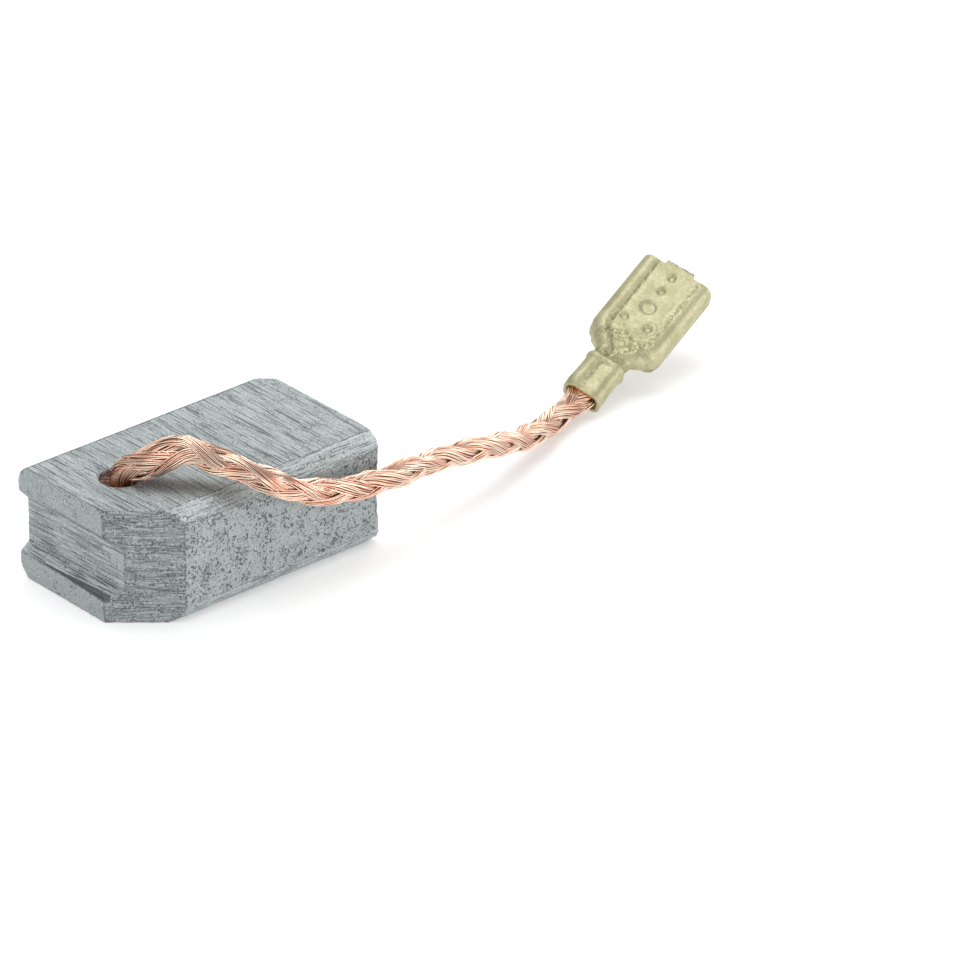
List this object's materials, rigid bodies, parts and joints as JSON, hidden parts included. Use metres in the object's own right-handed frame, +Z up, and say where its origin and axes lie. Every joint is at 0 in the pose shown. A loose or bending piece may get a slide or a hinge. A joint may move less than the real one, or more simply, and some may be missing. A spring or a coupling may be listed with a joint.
{
  "type": "carbon brush",
  "caption": "Bevelled carbon brush for a small motor: a copper shunt braid is tamped into its top face and ends in a crimped brass receptacle for a blade tab.",
  "frame": {"origin": "centre of the carbon block's bottom face", "axes": "+X along the block towards the contact face, +Y across it, +Z up through the face with the shunt hole"},
  "size_m": [0.0405, 0.011, 0.0084],
  "materials": {
    "carbon": "matt pressed carbon with fine pores and machining lines",
    "copper_powder": "matt, granular",
    "copper_braid": "bare copper wires, satin",
    "brass_sheet": "plain stamped brass, lightly tarnished"
  },
  "bodies": {
    "root": {"carbon_block": "carbon", "tamping_plug": "copper_powder", "shunt_braid": "copper_braid", "receptacle_terminal": "brass_sheet"}
  },
  "joints": []
}
